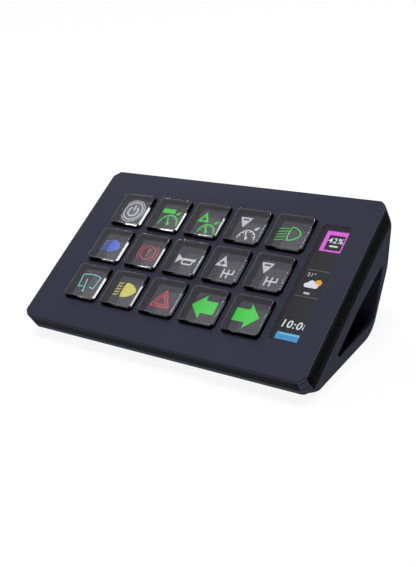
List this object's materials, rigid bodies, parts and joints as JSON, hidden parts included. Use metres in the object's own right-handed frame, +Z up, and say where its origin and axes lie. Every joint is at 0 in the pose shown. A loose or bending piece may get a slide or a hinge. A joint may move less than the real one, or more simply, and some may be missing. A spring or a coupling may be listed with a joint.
{
  "type": "macro keypad",
  "caption": "Desktop macro keypad on a fixed wedge stand: clear push keys over one screen, a side info window and a tunnel below.",
  "frame": {"origin": "centre of the bounding box at table level, under the base pad", "axes": "+Z up, +X towards the info strip at the user's right, +Y away from the user; the face leans back 27.7 degrees from the table"},
  "size_m": [0.1306, 0.0734, 0.0451],
  "materials": {
    "body": "fine matt, dark slate",
    "band": "satin, near black",
    "window": "smoked clear lens",
    "keycap": "polished clear acrylic",
    "silicone": "matt",
    "circuit_board": "solder mask",
    "screen": "colour screen behind glass",
    "tray": "plain sheet",
    "ribbon": "amber film",
    "chips": "moulded",
    "sockets": "moulded",
    "inlet": "plain shell",
    "screws": "plain",
    "pad": "matt"
  },
  "bodies": {
    "housing": {"front_panel": "body", "mid_frame": "band", "rear_housing": "body", "strip_window": "window", "key_mat": "silicone", "key_board": "circuit_board", "display_panel": "screen", "display_tray": "tray", "display_flex": "ribbon", "key_flex": "ribbon", "main_board": "circuit_board", "main_chips": "chips", "flex_sockets": "sockets", "usb_socket": "inlet", "board_screws": "screws", "housing_screws": "screws", "base_pad": "pad"},
    "key_r1c1": {"key_cap_r1c1": "keycap"},
    "key_r1c2": {"key_cap_r1c2": "keycap"},
    "key_r1c3": {"key_cap_r1c3": "keycap"},
    "key_r1c4": {"key_cap_r1c4": "keycap"},
    "key_r1c5": {"key_cap_r1c5": "keycap"},
    "key_r2c1": {"key_cap_r2c1": "keycap"},
    "key_r2c2": {"key_cap_r2c2": "keycap"},
    "key_r2c3": {"key_cap_r2c3": "keycap"},
    "key_r2c4": {"key_cap_r2c4": "keycap"},
    "key_r2c5": {"key_cap_r2c5": "keycap"},
    "key_r3c1": {"key_cap_r3c1": "keycap"},
    "key_r3c2": {"key_cap_r3c2": "keycap"},
    "key_r3c3": {"key_cap_r3c3": "keycap"},
    "key_r3c4": {"key_cap_r3c4": "keycap"},
    "key_r3c5": {"key_cap_r3c5": "keycap"}
  },
  "joints": [
    {"name": "press_r1c1", "type": "slide", "parent": "housing", "child": "key_r1c1", "axis": [0, 0.4648, -0.8854], "range_m": [0, 0.0012], "stiffness_N_per_m": 300, "springref_m": -0.001, "deforming": ["key_mat"]},
    {"name": "press_r1c2", "type": "slide", "parent": "housing", "child": "key_r1c2", "axis": [0, 0.4648, -0.8854], "range_m": [0, 0.0012], "stiffness_N_per_m": 300, "springref_m": -0.001, "deforming": ["key_mat"]},
    {"name": "press_r1c3", "type": "slide", "parent": "housing", "child": "key_r1c3", "axis": [0, 0.4648, -0.8854], "range_m": [0, 0.0012], "stiffness_N_per_m": 300, "springref_m": -0.001, "deforming": ["key_mat"]},
    {"name": "press_r1c4", "type": "slide", "parent": "housing", "child": "key_r1c4", "axis": [0, 0.4648, -0.8854], "range_m": [0, 0.0012], "stiffness_N_per_m": 300, "springref_m": -0.001, "deforming": ["key_mat"]},
    {"name": "press_r1c5", "type": "slide", "parent": "housing", "child": "key_r1c5", "axis": [0, 0.4648, -0.8854], "range_m": [0, 0.0012], "stiffness_N_per_m": 300, "springref_m": -0.001, "deforming": ["key_mat"]},
    {"name": "press_r2c1", "type": "slide", "parent": "housing", "child": "key_r2c1", "axis": [0, 0.4648, -0.8854], "range_m": [0, 0.0012], "stiffness_N_per_m": 300, "springref_m": -0.001, "deforming": ["key_mat"]},
    {"name": "press_r2c2", "type": "slide", "parent": "housing", "child": "key_r2c2", "axis": [0, 0.4648, -0.8854], "range_m": [0, 0.0012], "stiffness_N_per_m": 300, "springref_m": -0.001, "deforming": ["key_mat"]},
    {"name": "press_r2c3", "type": "slide", "parent": "housing", "child": "key_r2c3", "axis": [0, 0.4648, -0.8854], "range_m": [0, 0.0012], "stiffness_N_per_m": 300, "springref_m": -0.001, "deforming": ["key_mat"]},
    {"name": "press_r2c4", "type": "slide", "parent": "housing", "child": "key_r2c4", "axis": [0, 0.4648, -0.8854], "range_m": [0, 0.0012], "stiffness_N_per_m": 300, "springref_m": -0.001, "deforming": ["key_mat"]},
    {"name": "press_r2c5", "type": "slide", "parent": "housing", "child": "key_r2c5", "axis": [0, 0.4648, -0.8854], "range_m": [0, 0.0012], "stiffness_N_per_m": 300, "springref_m": -0.001, "deforming": ["key_mat"]},
    {"name": "press_r3c1", "type": "slide", "parent": "housing", "child": "key_r3c1", "axis": [0, 0.4648, -0.8854], "range_m": [0, 0.0012], "stiffness_N_per_m": 300, "springref_m": -0.001, "deforming": ["key_mat"]},
    {"name": "press_r3c2", "type": "slide", "parent": "housing", "child": "key_r3c2", "axis": [0, 0.4648, -0.8854], "range_m": [0, 0.0012], "stiffness_N_per_m": 300, "springref_m": -0.001, "deforming": ["key_mat"]},
    {"name": "press_r3c3", "type": "slide", "parent": "housing", "child": "key_r3c3", "axis": [0, 0.4648, -0.8854], "range_m": [0, 0.0012], "stiffness_N_per_m": 300, "springref_m": -0.001, "deforming": ["key_mat"]},
    {"name": "press_r3c4", "type": "slide", "parent": "housing", "child": "key_r3c4", "axis": [0, 0.4648, -0.8854], "range_m": [0, 0.0012], "stiffness_N_per_m": 300, "springref_m": -0.001, "deforming": ["key_mat"]},
    {"name": "press_r3c5", "type": "slide", "parent": "housing", "child": "key_r3c5", "axis": [0, 0.4648, -0.8854], "range_m": [0, 0.0012], "stiffness_N_per_m": 300, "springref_m": -0.001, "deforming": ["key_mat"]}
  ]
}
